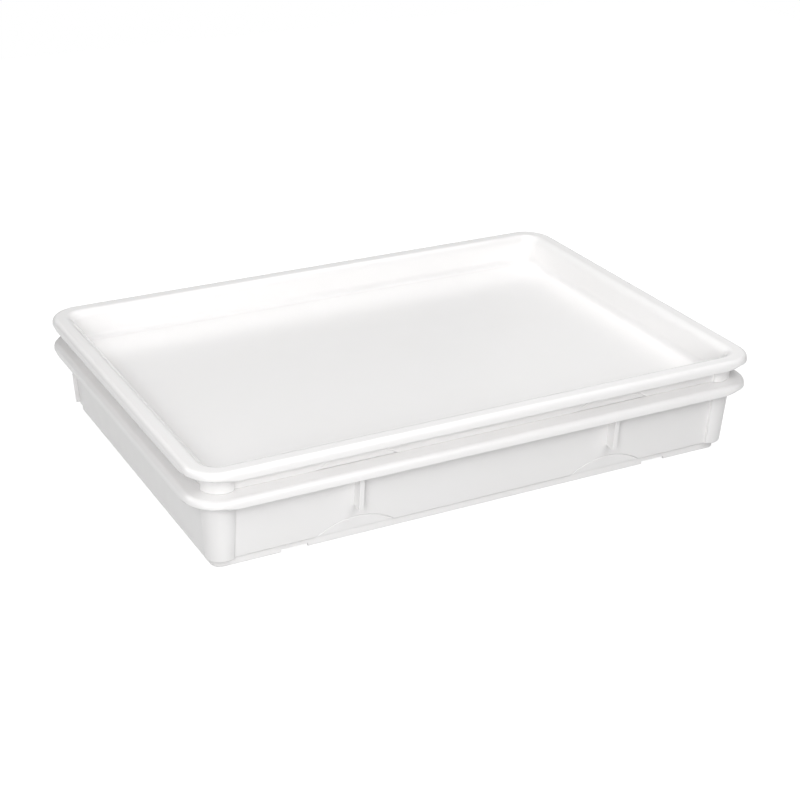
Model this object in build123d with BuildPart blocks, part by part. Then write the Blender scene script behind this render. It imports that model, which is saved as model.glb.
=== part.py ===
from build123d import *
import math
import os

# A stackable dough proofing box with a lift-off lid, both moulded in one piece.
# The origin lies on the ground at the middle of the box, X runs along the long side and Z is up.

# Rim, the same outline on the box and on the lid; the lip's corners draw in at its lower edge
rim_length = 660.0
rim_width = 457.0
rim_corner_radius = 35.0
rim_edge_radius = 6.0
lip_height = 10.0
lip_upright_height = 7.0
lip_corner_radius = 47.0
lip_thickness = 3.0
flange_thickness = 4.5

# Walls: insets are measured inward from the outer edge of the rim, at the height of the rim's top
wall_inset = 19.0
wall_thickness = 3.5
wall_lean_share = 0.067
corner_centre = 37.5
cove_radius = 8.0
shoulder_edge_bevel = 0.8

# Round corner posts stand out from the walls and are cut flat where they end
post_radius = 22.3
post_end_centre = 37.5
post_side_centre = 36.0
post_end_reach = 46.0
post_side_reach = 32.5
post_edge_bevel = 1.5

# Heights
box_height = 86.0
lid_rise = 30.0

# Foot ring below the shoulder, with the floor raised inside it
foot_height = 9.5
foot_inset = 27.0
foot_thickness = 3.0
foot_edge_bevel = 1.2
floor_lift = 3.5
floor_thickness = 3.0

# Fit of the lid's foot in the mouth of the box
lid_foot_clearance = 1.5
box_mouth_bevel = 1.2
lid_mouth_radius = 9.0

# Gussets below the flange on the long sides of the box
gusset_place = 151.5
gusset_thickness = 5.2
gusset_top_inset = 7.0
gusset_bottom_inset = 10.0
gusset_outer_drop = 49.0
gusset_root_drop = 48.0

# Crescent recesses at the bottom of the long walls
crescent_place = 151.0
crescent_half_width = 45.5
crescent_height = 15.0
crescent_depth = 1.4

# Notches in the foot ring, which fit over the long rims of a box stacked crosswise
notch_place = 216.7
notch_width = 29.5

overrun = 1.0

lean_angle = math.atan(wall_lean_share)


def wall_inset_at(drop):
    """The inset of the wall's outer face at a distance below the rim's top."""
    return wall_inset + wall_lean_share * drop


def outline(inset, level, radius):
    """A rounded rectangle that lies inside the rim's edge by the inset."""
    with BuildSketch(Plane.XY.offset(level)) as plan:
        RectangleRounded(rim_length - 2 * inset, rim_width - 2 * inset, radius)
    return plan.sketch


def wall_block(rim_level, shoulder_level):
    """The drafted block of the walls, from the shoulder up into the flange."""
    height = rim_level - flange_thickness / 2 - shoulder_level
    bottom_inset = wall_inset_at(rim_level - shoulder_level)
    with BuildPart() as block:
        extrude(
            outline(bottom_inset, shoulder_level, corner_centre - bottom_inset),
            amount=height,
            taper=-math.degrees(lean_angle),
        )
        chamfer(block.faces().sort_by(Axis.Z)[0].edges(), shoulder_edge_bevel)
    return block.part


def corner_posts(rim_level, shoulder_level):
    """Four tapered round posts, cut flat where they end along each wall."""
    seam_drop = flange_thickness / 2
    height = rim_level - seam_drop - shoulder_level
    top_radius = post_radius - wall_lean_share * seam_drop
    bottom_radius = top_radius - wall_lean_share * height
    along = rim_length - 2 * post_end_centre
    across = rim_width - 2 * post_side_centre
    with BuildPart() as posts:
        with GridLocations(along, across, 2, 2):
            with Locations((0, 0, shoulder_level)):
                Cone(bottom_radius, top_radius, height,
                     align=(Align.CENTER, Align.CENTER, Align.MIN))
        chamfer(posts.edges().filter_by(GeomType.CIRCLE).group_by(Axis.Z)[0], post_edge_bevel)
        with Locations((0, 0, shoulder_level)):
            Box(rim_length - 2 * post_end_reach, rim_width, height,
                align=(Align.CENTER, Align.CENTER, Align.MIN), mode=Mode.SUBTRACT)
            Box(rim_length, rim_width - 2 * post_side_reach, height,
                align=(Align.CENTER, Align.CENTER, Align.MIN), mode=Mode.SUBTRACT)
    return posts.part


def hollow(rim_level, floor_level):
    """The space inside, with leaning walls and a rounded cove at the floor."""
    depth = rim_level - floor_level
    bottom_inset = wall_inset_at(depth) + wall_thickness
    with BuildPart() as space:
        extrude(
            outline(bottom_inset, floor_level, corner_centre - bottom_inset),
            amount=depth + overrun,
            taper=-math.degrees(lean_angle),
        )
        fillet(space.faces().sort_by(Axis.Z)[0].edges(), cove_radius)
    return space.part


def lip_end(inset, rim_level):
    """The lowest part of the lip as a block, with corners that draw in downwards."""
    bottom = outline(inset, rim_level - lip_height, lip_corner_radius - inset)
    top = outline(inset, rim_level - lip_upright_height, rim_corner_radius - inset)
    with BuildPart() as block:
        loft(sections=[bottom.face(), top.face()], ruled=True)
    return block.part


def rim(rim_level):
    """The flange with its rounded edge and down-turned lip."""
    upright_level = rim_level - lip_upright_height
    with BuildPart() as flange:
        extrude(outline(0, upright_level, rim_corner_radius), amount=lip_upright_height)
        fillet(flange.faces().sort_by(Axis.Z)[-1].edges(), rim_edge_radius)
        add(lip_end(0, rim_level))
        extrude(
            outline(lip_thickness, upright_level, rim_corner_radius - lip_thickness),
            amount=lip_upright_height - flange_thickness,
            mode=Mode.SUBTRACT,
        )
        add(lip_end(lip_thickness, rim_level), mode=Mode.SUBTRACT)
    return flange.part


def foot(inset, bottom_level):
    """The foot ring as a block, hollow below the raised floor."""
    radius = corner_centre - inset
    inner_inset = inset + foot_thickness
    with BuildPart() as ring:
        extrude(outline(inset, bottom_level, radius), amount=foot_height + floor_thickness)
        chamfer(ring.faces().sort_by(Axis.Z)[0].edges(), foot_edge_bevel)
        extrude(outline(inner_inset, bottom_level, radius - foot_thickness), amount=floor_lift,
                mode=Mode.SUBTRACT)
    return ring.part


def crescents(rim_level, shoulder_level):
    """Shallow arched recesses that follow the lean of both long walls."""
    wall_face = rim_width / 2 - wall_inset_at(rim_level - shoulder_level)
    with BuildPart() as arches:
        for side in (-1, 1):
            face = Plane(
                origin=(side * crescent_place, -wall_face, shoulder_level),
                x_dir=(1, 0, 0),
                z_dir=(0, -math.cos(lean_angle), -math.sin(lean_angle)),
            )
            with BuildSketch(face.offset(-crescent_depth)):
                with BuildLine():
                    ThreePointArc((-crescent_half_width, 0), (0, crescent_height), (crescent_half_width, 0))
                    Polyline(
                        (crescent_half_width, 0),
                        (crescent_half_width, -overrun),
                        (-crescent_half_width, -overrun),
                        (-crescent_half_width, 0),
                    )
                make_face()
            extrude(amount=crescent_depth + overrun)
        mirror(about=Plane.XZ)
    return arches.part


def gussets(rim_level):
    """Tapered fins between the flange and the long walls."""
    edge = rim_width / 2
    top_drop = flange_thickness / 2
    top_root = wall_inset_at(top_drop) + wall_thickness / 2
    bottom_root = wall_inset_at(gusset_root_drop) + wall_thickness / 2
    with BuildPart() as fins:
        for side in (-1, 1):
            with BuildSketch(Plane.YZ.offset(side * gusset_place - gusset_thickness / 2)):
                with BuildLine():
                    Polyline(
                        (-edge + gusset_top_inset, rim_level - top_drop),
                        (-edge + gusset_bottom_inset, rim_level - gusset_outer_drop),
                        (-edge + bottom_root, rim_level - gusset_root_drop),
                        (-edge + top_root, rim_level - top_drop),
                        close=True,
                    )
                make_face()
            extrude(amount=gusset_thickness)
        mirror(about=Plane.XZ)
    return fins.part


# Heights that follow from the sizes above
box_floor_level = floor_lift + floor_thickness
lid_top_level = box_height + lid_rise
lid_foot_level = box_height - foot_height
lid_floor_level = lid_foot_level + floor_lift + floor_thickness

# The lid's foot clears the leaning mouth of the box all the way down
lid_foot_inset = wall_inset_at(foot_height) + wall_thickness + lid_foot_clearance

box_rim = rim(box_height)
box_walls = wall_block(box_height, foot_height)
box_posts = corner_posts(box_height, foot_height)
box_foot = foot(foot_inset, 0)
box_hollow = hollow(box_height, box_floor_level)
box_crescents = crescents(box_height, foot_height)
box_gussets = gussets(box_height)

lid_rim = rim(lid_top_level)
lid_walls = wall_block(lid_top_level, box_height)
lid_posts = corner_posts(lid_top_level, box_height)
lid_foot = foot(lid_foot_inset, lid_foot_level)
lid_hollow = hollow(lid_top_level, lid_floor_level)
lid_crescents = crescents(lid_top_level, box_height)

with BuildPart() as dough_box:
    add(box_rim)
    add(box_walls)
    add(box_posts)
    add(box_crescents, mode=Mode.SUBTRACT)
    add(box_gussets)
    add(box_foot)
    add(box_hollow, mode=Mode.SUBTRACT)
    top_face = dough_box.faces().filter_by(Axis.Z).sort_by(Axis.Z)[-1]
    chamfer(top_face.inner_wires()[0].edges(), box_mouth_bevel)
    with GridLocations(2 * notch_place, 0, 2, 1):
        Box(notch_width, rim_width, floor_lift,
            align=(Align.CENTER, Align.CENTER, Align.MIN), mode=Mode.SUBTRACT)

with BuildPart() as lid:
    add(lid_rim)
    add(lid_walls)
    add(lid_posts)
    add(lid_crescents, mode=Mode.SUBTRACT)
    add(lid_foot)
    add(lid_hollow, mode=Mode.SUBTRACT)
    top_face = lid.faces().filter_by(Axis.Z).sort_by(Axis.Z)[-1]
    fillet(top_face.inner_wires()[0].edges(), lid_mouth_radius)

dough_box.part.label = "dough_box"
lid.part.label = "lid"

os.makedirs("parts", exist_ok=True)
export_step(dough_box.part, "parts/dough_box.step")
export_step(lid.part, "parts/lid.step")
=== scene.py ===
import bpy
import bmesh
import math
from mathutils import Matrix, Vector


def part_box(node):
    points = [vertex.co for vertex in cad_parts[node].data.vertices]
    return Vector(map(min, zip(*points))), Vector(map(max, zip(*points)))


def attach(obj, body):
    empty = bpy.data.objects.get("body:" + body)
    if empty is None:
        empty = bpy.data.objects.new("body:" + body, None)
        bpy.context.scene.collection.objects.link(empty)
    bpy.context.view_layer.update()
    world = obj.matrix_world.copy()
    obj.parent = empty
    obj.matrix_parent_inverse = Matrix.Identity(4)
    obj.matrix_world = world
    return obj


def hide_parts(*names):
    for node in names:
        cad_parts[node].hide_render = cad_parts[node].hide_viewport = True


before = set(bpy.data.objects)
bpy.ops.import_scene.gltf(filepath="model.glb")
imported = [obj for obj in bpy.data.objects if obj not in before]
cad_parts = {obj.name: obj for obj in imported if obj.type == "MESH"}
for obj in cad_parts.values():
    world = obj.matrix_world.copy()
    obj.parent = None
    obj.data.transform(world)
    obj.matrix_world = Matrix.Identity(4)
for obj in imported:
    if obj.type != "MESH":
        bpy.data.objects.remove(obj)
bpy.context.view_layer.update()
print("frame loaded")

# sizes below are in millimetres, the scene is in metres
mm = 0.001

# the two mouldings share one rim, one wall and one corner post
boxLow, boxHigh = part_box("dough_box")
lidLow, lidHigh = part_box("lid")
rimLength = (boxHigh.x - boxLow.x) / mm
rimWidth = (boxHigh.y - boxLow.y) / mm
boxTop = boxHigh.z / mm
lidTop = lidHigh.z / mm
boxFootLevel = 0
lidFootLevel = lidLow.z / mm

# the signs of x and y in the four corners
corners = [(-1, -1), (-1, 1), (1, -1), (1, 1)]
quarterTurn = math.pi / 2

# two places closer than this count as one: on a level of the moulding, and on a cut
sameLevel = 0.1
sameCut = 0.01

# a face looks one way when this much of its normal does
mostly = 0.9

# how finely the round shapes are divided
divisions = {
    "planCorner": 20,
    "rimEdge": 8,
    "smallEdge": 3,
    "post": 80,
    "postEdge": 4,
    "postSide": 2,
    "crescent": 180,
    "hollowArc": 8,
}


# Hand tools


def clearSelection():
    if bpy.context.object and bpy.context.object.mode != "OBJECT":
        bpy.ops.object.mode_set(mode="OBJECT")
    bpy.ops.object.select_all(action="DESELECT")


def makeActive(piece):
    clearSelection()
    bpy.context.view_layer.objects.active = piece
    piece.select_set(True)


def editPiece(piece, mode, action):
    makeActive(piece)
    bpy.ops.object.mode_set(mode="EDIT")
    bpy.ops.mesh.select_mode(type=mode)
    bpy.ops.mesh.select_all(action=action)


def leaveEdit():
    bpy.ops.object.mode_set(mode="OBJECT")


def pickEdges(piece, wanted):
    # wanted gets the two ends of an edge, in millimetres
    editPiece(piece, "EDGE", "DESELECT")
    mesh = bmesh.from_edit_mesh(piece.data)
    for edge in mesh.edges:
        edge.select_set(wanted(*[v.co / mm for v in edge.verts]))
    bmesh.update_edit_mesh(piece.data)


def pickFaces(piece, wanted):
    # wanted gets the middle of a face, in millimetres, and its normal
    editPiece(piece, "FACE", "DESELECT")
    mesh = bmesh.from_edit_mesh(piece.data)
    for face in mesh.faces:
        face.select_set(wanted(face.calc_center_median() / mm, face.normal))
    bmesh.update_edit_mesh(piece.data)


def pickVertices(piece, wanted):
    # wanted gets a vertex, in millimetres
    editPiece(piece, "VERT", "DESELECT")
    mesh = bmesh.from_edit_mesh(piece.data)
    for vertex in mesh.verts:
        vertex.select_set(wanted(vertex.co / mm))
    mesh.select_flush_mode()
    bmesh.update_edit_mesh(piece.data)


def facesDown(middle, normal):
    return normal.z < -mostly


def notAbove(level):
    return lambda a, b: max(a.z, b.z) < level + sameLevel


def notBelow(level):
    return lambda a, b: min(a.z, b.z) > level - sameLevel


def bevelPicked(radius, count):
    bpy.ops.mesh.bevel(offset=radius * mm, segments=count, profile=0.5, clamp_overlap=False)
    leaveEdit()


def roundEdges(piece, radius, count, wanted):
    pickEdges(piece, wanted)
    bevelPicked(radius, count)


def addBlock(name, size, middle):
    clearSelection()
    bpy.ops.mesh.primitive_cube_add(
        size=1, location=[c * mm for c in middle], scale=[s * mm for s in size]
    )
    block = bpy.context.object
    block.name = name
    bpy.ops.object.transform_apply(location=True, rotation=True, scale=True)
    return block


def roundedSlab(name, inset, low, high, radius):
    # a slab with the plan of the rim, smaller all round by the inset
    size = (rimLength - 2 * inset, rimWidth - 2 * inset, high - low)
    slab = addBlock(name, size, (0, 0, (low + high) / 2))
    isUpright = lambda a, b: abs(a.z - b.z) > (high - low) / 2
    roundEdges(slab, radius, divisions["planCorner"], isUpright)
    return slab


def sinkFace(piece, steps, wanted):
    # pushes a face on through (inset, depth) steps, each measured from the one before
    pickFaces(piece, wanted)
    for inset, depth in steps:
        bpy.ops.mesh.inset(thickness=inset * mm, depth=depth * mm, use_even_offset=True)
    leaveEdit()


def combine(piece, tool, operation):
    modifier = piece.modifiers.new(operation.lower(), "BOOLEAN")
    modifier.object = tool
    modifier.operation = operation
    modifier.solver = "EXACT"
    clearSelection()
    bpy.context.view_layer.objects.active = piece
    bpy.ops.object.modifier_apply(modifier=modifier.name)
    bpy.data.objects.remove(tool)


# The two mouldings

moulding = {
    "rimCornerRadius": 35,
    "rimEdgeRadius": 6,
    "lipHeight": 10,
    "lipUprightHeight": 7,
    "lipCornerRadius": 47,
    "lipThickness": 3,
    "lipEdgeRadius": 0.6,
    "flangeThickness": 4.5,
    "wallInset": 19,
    "wallThickness": 3.5,
    "wallLeanShare": 0.067,
    "cornerCentre": 37.5,
    "coveRadius": 8,
    "shoulderEdgeRadius": 0.8,
    "postRadius": 22.3,
    "postEndCentre": 37.5,
    "postSideCentre": 36,
    "postEndReach": 46,
    "postSideReach": 32.5,
    "postEdgeRadius": 1.5,
    "postSideRadius": 0.4,
    "footHeight": 9.5,
    "footThickness": 3,
    "footEdgeRadius": 1.2,
    "floorLift": 3.5,
    "floorThickness": 3,
    "crescentPlace": 151,
    "crescentHalfWidth": 45.5,
    "crescentHeight": 15,
    "crescentDepth": 1.4,
    "crescentEdge": 1.4,
    "outlineWidth": 0.8,
    "outlineDepth": 0.4,
}

lean = math.atan(moulding["wallLeanShare"])


def wallInsetAt(drop):
    return moulding["wallInset"] + moulding["wallLeanShare"] * drop


def reshapeCorners(piece, level, inset, oldRadius, newRadius):
    # gives one outline of the lip another corner radius, the straight sides stay where they are
    centre = oldRadius + inset
    offRadius = 0.2

    def onCorner(v, sideX, sideY):
        fromX = rimLength / 2 - sideX * v.x
        fromY = rimWidth / 2 - sideY * v.y
        away = math.hypot(centre - fromX, centre - fromY)
        atLevel = abs(v.z - level) < sameLevel
        inCorner = max(fromX, fromY) < centre + sameLevel
        return atLevel and inCorner and abs(away - oldRadius) < offRadius

    share = newRadius / oldRadius
    for sideX, sideY in corners:
        pickVertices(piece, lambda v: onCorner(v, sideX, sideY))
        squareX = sideX * (rimLength / 2 - inset) * mm
        squareY = sideY * (rimWidth / 2 - inset) * mm
        bpy.ops.transform.resize(
            value=(share, share, 1), center_override=(squareX, squareY, 0)
        )
    leaveEdit()


def makeRim(name, top):
    m = moulding
    low = top - m["lipHeight"]
    upright = top - m["lipUprightHeight"]
    thickness = m["lipThickness"]
    outer, drawnIn = m["rimCornerRadius"], m["lipCornerRadius"]

    def isMiddle(middle, normal):
        # the face in the middle below, and not the lip's around it
        return facesDown(middle, normal) and middle.xy.length < sameLevel

    rim = roundedSlab(name, 0, upright, top, outer)
    roundEdges(rim, m["rimEdgeRadius"], divisions["rimEdge"], notBelow(top))
    sinkFace(rim, [(0, upright - low)], isMiddle)
    reshapeCorners(rim, low, 0, outer, drawnIn)
    sinkFace(rim, [(thickness, 0), (0, low - upright)], isMiddle)
    reshapeCorners(rim, upright, thickness, drawnIn - thickness, outer - thickness)
    sinkFace(rim, [(0, m["flangeThickness"] - m["lipUprightHeight"])], isMiddle)
    roundEdges(rim, m["lipEdgeRadius"], divisions["smallEdge"], notAbove(low))
    return rim


def addWalls(piece, top, shoulder):
    # a thin slab inside the flange is drawn down to the shoulder
    m = moulding
    start = top - m["flangeThickness"] / 2
    hiddenTop = top - m["flangeThickness"] / 4
    inset = wallInsetAt(top - start)
    walls = roundedSlab("walls", inset, start, hiddenTop, m["cornerCentre"] - inset)
    height = start - shoulder
    sinkFace(walls, [(m["wallLeanShare"] * height, height)], facesDown)
    roundEdges(walls, m["shoulderEdgeRadius"], divisions["smallEdge"], notAbove(shoulder))
    combine(piece, walls, "UNION")


def cutOff(x, y, normal):
    # cuts the piece in edit mode along an upright plane, and keeps what lies behind the normal
    bpy.ops.mesh.select_all(action="SELECT")
    bpy.ops.mesh.bisect(
        plane_co=(x * mm, y * mm, 0), plane_no=normal, use_fill=True, clear_outer=True
    )


def addPosts(piece, top, shoulder):
    m = moulding
    start = top - m["flangeThickness"] / 2
    topRadius = m["postRadius"] - m["wallLeanShare"] * (top - start)
    bottomRadius = m["postRadius"] - m["wallLeanShare"] * (top - shoulder)
    uprightLength = 5
    for sideX, sideY in corners:
        middleX = sideX * (rimLength / 2 - m["postEndCentre"])
        middleY = sideY * (rimWidth / 2 - m["postSideCentre"])
        clearSelection()
        bpy.ops.mesh.primitive_cone_add(
            vertices=divisions["post"],
            radius1=bottomRadius * mm,
            radius2=topRadius * mm,
            depth=(start - shoulder) * mm,
            location=(middleX * mm, middleY * mm, (start + shoulder) / 2 * mm),
        )
        post = bpy.context.object
        bpy.ops.object.transform_apply(location=True, rotation=True, scale=True)
        roundEdges(post, m["postEdgeRadius"], divisions["postEdge"], notAbove(shoulder))
        cutX = sideX * (rimLength / 2 - m["postEndReach"])
        cutY = sideY * (rimWidth / 2 - m["postSideReach"])
        editPiece(post, "FACE", "SELECT")
        cutOff(cutX, 0, (-sideX, 0, 0))
        cutOff(0, cutY, (0, -sideY, 0))
        leaveEdit()

        def onCuts(v):
            return abs(v.x - cutX) < sameCut, abs(v.y - cutY) < sameCut

        def isSide(a, b):
            # an upright edge of a cut, but not the one inside the wall where both cuts meet
            isUpright = abs(a.z - b.z) > uprightLength
            return isUpright and any(onCuts(a)) and any(onCuts(b)) and not all(onCuts(a))

        roundEdges(post, m["postSideRadius"], divisions["postSide"], isSide)
        combine(piece, post, "UNION")


def cutCrescents(piece, top, shoulder):
    m = moulding
    rise, half = m["crescentHeight"], m["crescentHalfWidth"]
    radius = (half * half + rise * rise) / (2 * rise)
    faceY = rimWidth / 2 - wallInsetAt(top - shoulder)
    discReach = 4
    # the disc's end is sunk into the wall by a sloping edge, with a fine groove at its foot
    steps = [
        (m["crescentEdge"], m["crescentDepth"] + m["outlineDepth"]),
        (m["outlineWidth"], 0),
        (m["outlineDepth"], -m["outlineDepth"]),
    ]
    for sideX, sideY in corners:
        # the disc leans with the wall
        outward = Vector((0, sideY * math.cos(lean), -math.sin(lean)))
        up = Vector((0, sideY * math.sin(lean), math.cos(lean)))
        foot = Vector((sideX * m["crescentPlace"], sideY * faceY, shoulder))
        middle = foot + up * (rise - radius) + outward * discReach
        clearSelection()
        bpy.ops.mesh.primitive_cylinder_add(
            vertices=divisions["crescent"],
            radius=radius * mm,
            depth=2 * discReach * mm,
            location=middle * mm,
        )
        disc = bpy.context.object
        disc.rotation_euler = (-sideY * (quarterTurn + lean), 0, 0)
        bpy.ops.object.transform_apply(location=True, rotation=True, scale=True)
        sinkFace(disc, steps, lambda c, n: n.dot(outward) < -mostly)
        combine(piece, disc, "DIFFERENCE")


def insideBy(v):
    # how far a point lies inside the rim's plan, round the centres of the walls' corners
    c = moulding["cornerCentre"]
    fromX = rimLength / 2 - abs(v.x)
    fromY = rimWidth / 2 - abs(v.y)
    if fromX < c and fromY < c:
        return c - math.hypot(c - fromX, c - fromY)
    return min(fromX, fromY)


def addFoot(piece, inset, bottom):
    m = moulding
    height = m["footHeight"] + m["floorThickness"]
    middleOfRing = inset + m["footThickness"] / 2
    foot = roundedSlab("foot", inset, bottom, bottom + height, m["cornerCentre"] - inset)
    sinkFace(foot, [(m["footThickness"], 0), (0, -m["floorLift"])], facesDown)

    def isOuter(a, b):
        return notAbove(bottom)(a, b) and max(insideBy(a), insideBy(b)) < middleOfRing

    roundEdges(foot, m["footEdgeRadius"], divisions["smallEdge"], isOuter)
    combine(piece, foot, "UNION")


def turns(start, end):
    count = divisions["hollowArc"]
    return [start + (end - start) * i / count for i in range(count + 1)]


def cutHollow(piece, top, floor, mouth):
    m = moulding
    depth = top - floor
    cove = m["coveRadius"]
    share = m["wallLeanShare"]
    wallTop = m["wallInset"] + m["wallThickness"]
    # the rounded mouth runs into the leaning wall, and that into the cove at the floor
    mouthCentre = wallTop + share * mouth - mouth / math.cos(lean)
    coveCentre = wallTop + share * (depth - cove) + cove / math.cos(lean)
    profile = [
        (mouthCentre + mouth * math.sin(turn), mouth * (1 - math.cos(turn)))
        for turn in turns(0, quarterTurn - lean)
    ] + [
        (coveCentre - cove * math.cos(turn), depth - cove + cove * math.sin(turn))
        for turn in turns(lean, quarterTurn)
    ]
    steps = [(b[0] - a[0], b[1] - a[1]) for a, b in zip(profile, profile[1:])]
    above = 2
    start = profile[0][0]
    cutter = roundedSlab("hollow", start, top, top + above, m["cornerCentre"] - start)
    sinkFace(cutter, steps, facesDown)
    combine(piece, cutter, "DIFFERENCE")


def makeShell(name, top, shoulder):
    shell = makeRim(name, top)
    addWalls(shell, top, shoulder)
    addPosts(shell, top, shoulder)
    cutCrescents(shell, top, shoulder)
    return shell


finish = {"mergeDistance": 0.002, "smoothAngle": 35, "flatWeight": 100}


def finishMoulding(piece):
    editPiece(piece, "VERT", "SELECT")
    bpy.ops.mesh.remove_doubles(threshold=finish["mergeDistance"] * mm)
    leaveEdit()
    bpy.ops.object.shade_smooth_by_angle(angle=math.radians(finish["smoothAngle"]))
    normals = piece.modifiers.new("flat faces stay flat", "WEIGHTED_NORMAL")
    normals.keep_sharp = True
    normals.weight = finish["flatWeight"]
    bpy.ops.object.modifier_apply(modifier=normals.name)


boxOnly = {
    "footInset": 27,
    "mouthRadius": 1.2,
    "gussetPlace": 151.5,
    "gussetThickness": 5.2,
    "gussetTopInset": 7,
    "gussetBottomInset": 10,
    "gussetOuterDrop": 49,
    "gussetRootDrop": 48,
    "gussetEdgeRadius": 0.6,
    "notchPlace": 216.7,
    "notchWidth": 29.5,
}


def addGussets(piece, top):
    b = boxOnly
    start = moulding["flangeThickness"] / 2
    inWall = moulding["wallThickness"] / 2
    rootTop = wallInsetAt(start) + inWall
    rootLow = wallInsetAt(b["gussetRootDrop"]) + inWall
    outOfRoot = 0.5
    for sideX, sideY in corners:
        size = (b["gussetThickness"], rootTop - b["gussetTopInset"], b["gussetOuterDrop"] - start)
        middleY = sideY * (rimWidth / 2 - (rootTop + b["gussetTopInset"]) / 2)
        middleZ = top - (start + b["gussetOuterDrop"]) / 2
        fin = addBlock("gusset", size, (sideX * b["gussetPlace"], middleY, middleZ))
        # the lower edges are drawn in to the fin's slanting outline
        for v in fin.data.vertices:
            isOuter = abs(v.co.y) > abs(middleY) * mm
            if v.co.z < middleZ * mm:
                inset = b["gussetBottomInset"] if isOuter else rootLow
                drop = b["gussetOuterDrop"] if isOuter else b["gussetRootDrop"]
                v.co.y = sideY * (rimWidth / 2 - inset) * mm
                v.co.z = (top - drop) * mm

        def isShown(a, c):
            isAlong = abs(a.x - c.x) < sameCut
            return isAlong and min(abs(a.y), abs(c.y)) > rimWidth / 2 - rootTop + outOfRoot

        roundEdges(fin, b["gussetEdgeRadius"], divisions["smallEdge"], isShown)
        combine(piece, fin, "UNION")


def cutNotches(piece):
    b = boxOnly
    size = (b["notchWidth"], rimWidth, 2 * moulding["floorLift"])
    for side in (-1, 1):
        notch = addBlock("notch", size, (side * b["notchPlace"], 0, 0))
        combine(piece, notch, "DIFFERENCE")


def makeBox():
    m = moulding
    box = makeShell("doughBoxMoulding", boxTop, boxFootLevel + m["footHeight"])
    addGussets(box, boxTop)
    addFoot(box, boxOnly["footInset"], boxFootLevel)
    floor = boxFootLevel + m["floorLift"] + m["floorThickness"]
    cutHollow(box, boxTop, floor, boxOnly["mouthRadius"])
    cutNotches(box)
    finishMoulding(box)
    return box


lidOnly = {
    "footClearance": 1.5,
    "mouthRadius": 9,
}


def makeLid():
    m = moulding
    lid = makeShell("lidMoulding", lidTop, lidFootLevel + m["footHeight"])
    footInset = wallInsetAt(m["footHeight"]) + m["wallThickness"] + lidOnly["footClearance"]
    addFoot(lid, footInset, lidFootLevel)
    floor = lidFootLevel + m["floorLift"] + m["floorThickness"]
    cutHollow(lid, lidTop, floor, lidOnly["mouthRadius"])
    finishMoulding(lid)
    return lid


boxPiece = makeBox()
print("box modelled", len(boxPiece.data.polygons), "faces")
lidPiece = makeLid()
print("lid modelled", len(lidPiece.data.polygons), "faces")

for piece, node, body, slotName in (
    (boxPiece, "dough_box", "box", "box_moulding"),
    (lidPiece, "lid", "cover", "lid_moulding"),
):
    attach(piece, body)
    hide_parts(node)


# The plastic


def linear(hexColour):
    values = [int(hexColour[i : i + 2], 16) / 255 for i in (1, 3, 5)]
    return tuple(v / 12.92 if v <= 0.04045 else ((v + 0.055) / 1.055) ** 2.4 for v in values) + (1,)


# the inputs of a Mix node share their names, so they are told apart by their numbers
mixShare = 0
mixNumbers = (2, 3)
mixColours = (6, 7)
mixedNumber = 0
mixedColour = 2


def inOrder(*sources):
    return dict(enumerate(sources))


def addNode(tree, kind, settings, links):
    node = tree.nodes.new(kind)
    for name, value in settings.items():
        if isinstance(name, int) or name in node.inputs:
            node.inputs[name].default_value = value
        else:
            setattr(node, name, value)
    for name, source in links.items():
        tree.links.new(source, node.inputs[name])
    return node


# moulded polypropylene: a milky white with an even gloss, in which the walls and the tray
# mirror each other softly at low angles
plastic = {
    "colour": "#F9F8F8",
    "duskyColour": "#F8F7F6",
    "cloudSpacing": 90,
    "cloudDetail": 2,
    "roughness": 0.2,
    "scuffedRoughness": 0.27,
    "scuffSpacing": 25,
    "scuffDetail": 5,
    "scuffRange": (0.35, 0.75),
    "ior": 1.49,
    "sinkSpacing": 70,
    "sinkDetail": 1,
    "sinkDepth": 0.04,
    "grainSpacing": 0.8,
    "grainDetail": 2,
    "grainDepth": 0.003,
}


def makePlastic(name):
    p = plastic
    material = bpy.data.materials.new(name)
    material.use_nodes = True
    tree = material.node_tree
    tree.nodes.clear()
    place = addNode(tree, "ShaderNodeTexCoord", {}, {}).outputs["Object"]

    def clouds(kind):
        settings = {"Scale": 1 / (p[kind + "Spacing"] * mm), "Detail": p[kind + "Detail"]}
        return addNode(tree, "ShaderNodeTexNoise", settings, {"Vector": place}).outputs["Fac"]

    def relief(kind, links):
        settings = {"Strength": 1, "Distance": p[kind + "Depth"] * mm}
        links = {"Height": clouds(kind), **links}
        return addNode(tree, "ShaderNodeBump", settings, links).outputs["Normal"]

    # the resin is a little cloudier where the melt cooled last
    colours = dict(zip(mixColours, (linear(p["colour"]), linear(p["duskyColour"]))))
    tone = addNode(
        tree, "ShaderNodeMix", {"data_type": "RGBA", **colours}, {mixShare: clouds("cloud")}
    )
    # handling leaves the gloss slightly uneven
    gloss = addNode(
        tree,
        "ShaderNodeMapRange",
        {
            "From Min": p["scuffRange"][0],
            "From Max": p["scuffRange"][1],
            "To Min": p["roughness"],
            "To Max": p["scuffedRoughness"],
        },
        {"Value": clouds("scuff")},
    )
    # wide shallow sink marks, and the fine grain of the mould on top of them
    sinks = relief("sink", {})
    grain = relief("grain", {"Normal": sinks})
    shader = addNode(
        tree,
        "ShaderNodeBsdfPrincipled",
        {"IOR": p["ior"]},
        {
            "Base Color": tone.outputs[mixedColour],
            "Roughness": gloss.outputs["Result"],
            "Normal": grain,
        },
    )
    addNode(tree, "ShaderNodeOutputMaterial", {}, {"Surface": shader.outputs["BSDF"]})
    return material


whitePlastic = makePlastic("mouldedPolypropylene")
for piece in (boxPiece, lidPiece):
    piece.data.materials.clear()
    piece.data.materials.append(whitePlastic)
print("plastic made")


# Stage, lamps and camera

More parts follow.
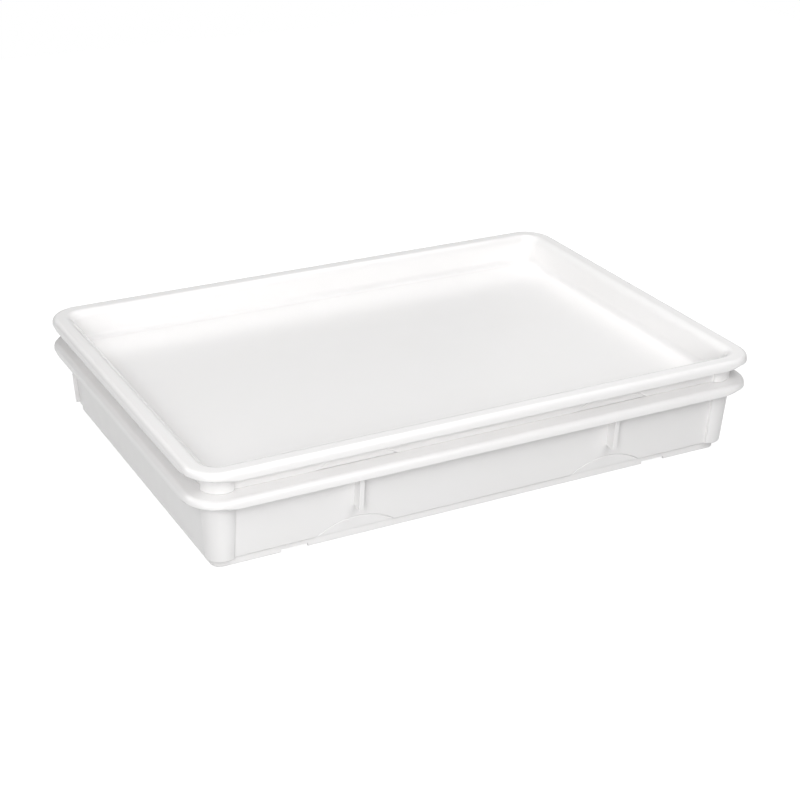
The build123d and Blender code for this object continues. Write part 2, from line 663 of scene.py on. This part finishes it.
stage = {
    "floorSize": 3600,
    "floorColour": "#A0A0A0",
    "seenFloorColour": "#8C8C8C",
    "seenFloorGlow": 0.9,
    "horizonLight": 0.08,
    "zenithLight": 0.12,
    "zenithStart": 0.7,
    "backdropLight": 1,
}


def makeStage():
    clearSelection()
    bpy.ops.mesh.primitive_plane_add(size=stage["floorSize"] * mm, location=(0, 0, 0))
    floor = bpy.context.object
    floor.name = "floor"
    material = bpy.data.materials.new("studioFloor")
    material.use_nodes = True
    tree = material.node_tree
    tree.nodes.clear()
    ray = addNode(tree, "ShaderNodeLightPath", {}, {}).outputs

    def eitherOf(first, second):
        settings = {"operation": "MAXIMUM"}
        return addNode(tree, "ShaderNodeMath", settings, inOrder(first, second)).outputs["Value"]

    mirrored = eitherOf(ray["Is Glossy Ray"], ray["Is Transmission Ray"])
    seen = eitherOf(ray["Is Camera Ray"], mirrored)
    # the camera and mirrored rays see a white floor that still takes the shadow, but the light
    # that bounces off it comes from plain grey paper
    paper = addNode(tree, "ShaderNodeBsdfDiffuse", {"Color": linear(stage["floorColour"])}, {})
    shadowed = addNode(
        tree, "ShaderNodeBsdfDiffuse", {"Color": linear(stage["seenFloorColour"])}, {}
    )
    glow = addNode(tree, "ShaderNodeEmission", {"Strength": stage["seenFloorGlow"]}, {})
    white = addNode(
        tree,
        "ShaderNodeAddShader",
        {},
        inOrder(shadowed.outputs["BSDF"], glow.outputs["Emission"]),
    )
    both = addNode(
        tree,
        "ShaderNodeMixShader",
        {},
        inOrder(seen, paper.outputs["BSDF"], white.outputs["Shader"]),
    )
    addNode(tree, "ShaderNodeOutputMaterial", {}, {"Surface": both.outputs["Shader"]})
    floor.data.materials.append(material)


def makeWorld():
    world = bpy.data.worlds.new("studioWorld")
    bpy.context.scene.world = world
    world.use_nodes = True
    tree = world.node_tree
    tree.nodes.clear()
    # the room is brighter overhead than at the horizon, and where the camera sees past the floor
    # it is white
    place = addNode(tree, "ShaderNodeTexCoord", {}, {})
    direction = addNode(tree, "ShaderNodeSeparateXYZ", {}, inOrder(place.outputs["Generated"]))
    room = addNode(
        tree,
        "ShaderNodeMapRange",
        {
            "From Min": 0,
            "From Max": stage["zenithStart"],
            "To Min": stage["horizonLight"],
            "To Max": stage["zenithLight"],
        },
        {"Value": direction.outputs["Z"]},
    )
    ray = addNode(tree, "ShaderNodeLightPath", {}, {})
    strength = addNode(
        tree,
        "ShaderNodeMix",
        {"data_type": "FLOAT", mixNumbers[1]: stage["backdropLight"]},
        {mixShare: ray.outputs["Is Camera Ray"], mixNumbers[0]: room.outputs["Result"]},
    )
    light = addNode(
        tree,
        "ShaderNodeBackground",
        {"Color": (1, 1, 1, 1)},
        {"Strength": strength.outputs[mixedNumber]},
    )
    addNode(tree, "ShaderNodeOutputWorld", {}, {"Surface": light.outputs["Background"]})


lamps = {
    "leftFront": {"place": (-1300, -1900, 1000), "size": 1200, "power": 33},
    "frontHigh": {"place": (300, -1500, 1500), "size": 1200, "power": 15.5},
    "leftBack": {"place": (-1700, 1300, 1700), "size": 1200, "power": 19},
    "overhead": {"place": (600, 500, 1700), "size": 900, "power": 11},
    "rightBack": {"place": (2200, 1500, 900), "size": 2000, "power": 3.5},
}


def makeLamps():
    for name, s in lamps.items():
        data = bpy.data.lights.new(name, "AREA")
        data.shape = "SQUARE"
        data.size = s["size"] * mm
        data.energy = s["power"]
        lamp = bpy.data.objects.new(name, data)
        bpy.context.scene.collection.objects.link(lamp)
        lamp.location = [c * mm for c in s["place"]]
        lamp.rotation_euler = (-lamp.location).to_track_quat("-Z", "Y").to_euler()


camera = {
    "azimuth": -28.24,
    "elevation": 25.47,
    "roll": 1.14,
    "distance": 1935.4,
    "slide": (-6.3, 29.4),
    "lens": 76.31,
    "sensorWidth": 36,
    "shift": (0.016, 0.0005),
    "farthestSeen": 100000,
}


def makeCamera():
    c = camera
    azimuth, elevation, roll = [math.radians(c[k]) for k in ("azimuth", "elevation", "roll")]
    back = Vector(
        (
            math.sin(azimuth) * math.cos(elevation),
            -math.cos(azimuth) * math.cos(elevation),
            math.sin(elevation),
        )
    )
    levelRight = Vector((0, 0, 1)).cross(back).normalized()
    levelUp = back.cross(levelRight)
    right = math.cos(roll) * levelRight + math.sin(roll) * levelUp
    up = math.cos(roll) * levelUp - math.sin(roll) * levelRight
    eye = right * c["slide"][0] + up * c["slide"][1] + back * c["distance"]
    data = bpy.data.cameras.new("camera")
    data.lens = c["lens"]
    data.sensor_width = c["sensorWidth"]
    data.shift_x, data.shift_y = c["shift"]
    data.clip_end = c["farthestSeen"] * mm
    viewer = bpy.data.objects.new("camera", data)
    bpy.context.scene.collection.objects.link(viewer)
    axes = Matrix((right, up, back)).transposed().to_4x4()
    viewer.matrix_world = Matrix.Translation(eye * mm) @ axes
    bpy.context.scene.camera = viewer


makeStage()
makeWorld()
makeLamps()
makeCamera()
bpy.context.scene.view_settings.view_transform = "Standard"
print("stage, lamps and camera set")

bpy.context.view_layer.update()
print("done")
